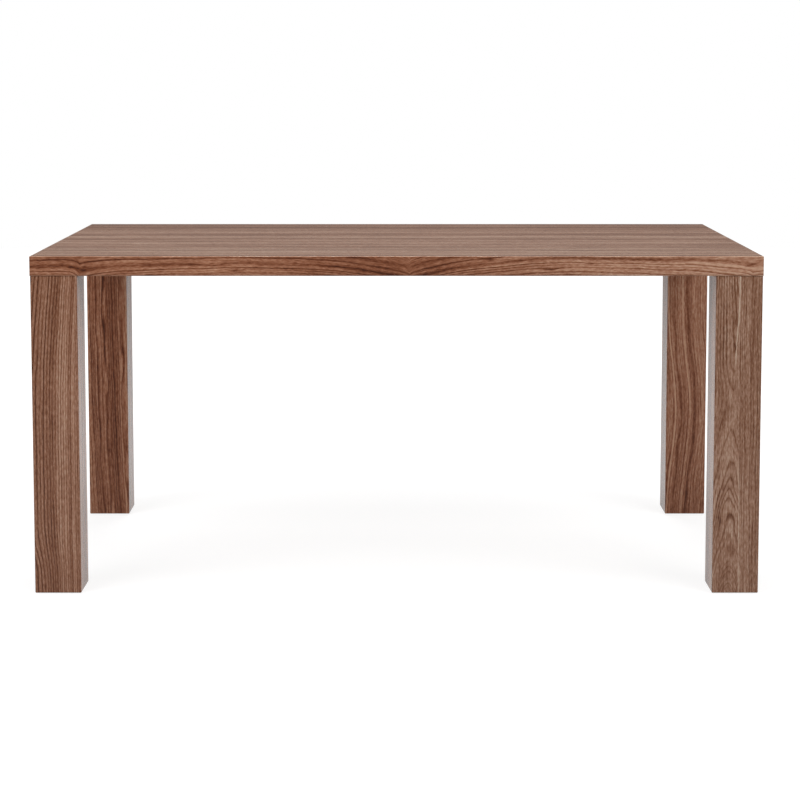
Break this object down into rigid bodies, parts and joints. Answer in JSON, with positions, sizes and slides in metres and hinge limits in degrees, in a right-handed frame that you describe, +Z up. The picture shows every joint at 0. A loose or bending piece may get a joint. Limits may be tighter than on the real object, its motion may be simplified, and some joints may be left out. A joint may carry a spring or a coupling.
{
  "type": "parsons dining table",
  "caption": "Rectangular dining table: a thin flat walnut-veneered top on thick square legs that stand flush with its corners, with no apron, on screw-in levelling glides.",
  "frame": {"origin": "on the floor, under the middle of the top", "axes": "+X along the table's length, +Y across it from the front edge to the back edge, +Z up"},
  "size_m": [1.6, 0.9, 0.75],
  "materials": {
    "walnut_veneer": "satin lacquer",
    "backing_veneer": "sealed",
    "mdf": "raw",
    "core_timber": "planed",
    "black_steel": "powder coat",
    "zinc_steel": "zinc plate",
    "black_nylon": "moulded"
  },
  "bodies": {
    "table": {"top_face_veneer": "walnut_veneer", "front_edge_veneer": "walnut_veneer", "right_edge_veneer": "walnut_veneer", "back_edge_veneer": "walnut_veneer", "left_edge_veneer": "walnut_veneer", "front_left_leg_front_panel": "walnut_veneer", "front_left_leg_right_panel": "walnut_veneer", "front_left_leg_back_panel": "walnut_veneer", "front_left_leg_left_panel": "walnut_veneer", "front_right_leg_front_panel": "walnut_veneer", "front_right_leg_right_panel": "walnut_veneer", "front_right_leg_back_panel": "walnut_veneer", "front_right_leg_left_panel": "walnut_veneer", "back_right_leg_front_panel": "walnut_veneer", "back_right_leg_right_panel": "walnut_veneer", "back_right_leg_back_panel": "walnut_veneer", "back_right_leg_left_panel": "walnut_veneer", "back_left_leg_front_panel": "walnut_veneer", "back_left_leg_right_panel": "walnut_veneer", "back_left_leg_back_panel": "walnut_veneer", "back_left_leg_left_panel": "walnut_veneer", "underside_veneer": "backing_veneer", "upper_skin": "mdf", "lower_skin": "mdf", "front_long_rib": "mdf", "back_long_rib": "mdf", "left_cross_rib": "mdf", "middle_cross_rib": "mdf", "right_cross_rib": "mdf", "front_rail": "core_timber", "right_rail": "core_timber", "back_rail": "core_timber", "left_rail": "core_timber", "front_left_corner_block": "core_timber", "front_right_corner_block": "core_timber", "back_right_corner_block": "core_timber", "back_left_corner_block": "core_timber", "front_left_leg_foot_block": "core_timber", "front_right_leg_foot_block": "core_timber", "back_right_leg_foot_block": "core_timber", "back_left_leg_foot_block": "core_timber", "front_left_leg_bracket": "black_steel", "front_right_leg_bracket": "black_steel", "back_right_leg_bracket": "black_steel", "back_left_leg_bracket": "black_steel", "leg_bolts": "zinc_steel", "front_left_tapped_plate": "zinc_steel", "front_right_tapped_plate": "zinc_steel", "back_right_tapped_plate": "zinc_steel", "back_left_tapped_plate": "zinc_steel", "front_left_foot_nut": "zinc_steel", "front_right_foot_nut": "zinc_steel", "back_right_foot_nut": "zinc_steel", "back_left_foot_nut": "zinc_steel"},
    "front_left_foot": {"front_left_glide": "black_nylon"},
    "front_right_foot": {"front_right_glide": "black_nylon"},
    "back_right_foot": {"back_right_glide": "black_nylon"},
    "back_left_foot": {"back_left_glide": "black_nylon"}
  },
  "joints": [
    {"name": "front_left_glide_screw", "type": "slide", "parent": "table", "child": "front_left_foot", "axis": [0, 0, -1], "range_m": [0, 0.01]},
    {"name": "front_right_glide_screw", "type": "slide", "parent": "table", "child": "front_right_foot", "axis": [0, 0, -1], "range_m": [0, 0.01]},
    {"name": "back_right_glide_screw", "type": "slide", "parent": "table", "child": "back_right_foot", "axis": [0, 0, -1], "range_m": [0, 0.01]},
    {"name": "back_left_glide_screw", "type": "slide", "parent": "table", "child": "back_left_foot", "axis": [0, 0, -1], "range_m": [0, 0.01]}
  ]
}
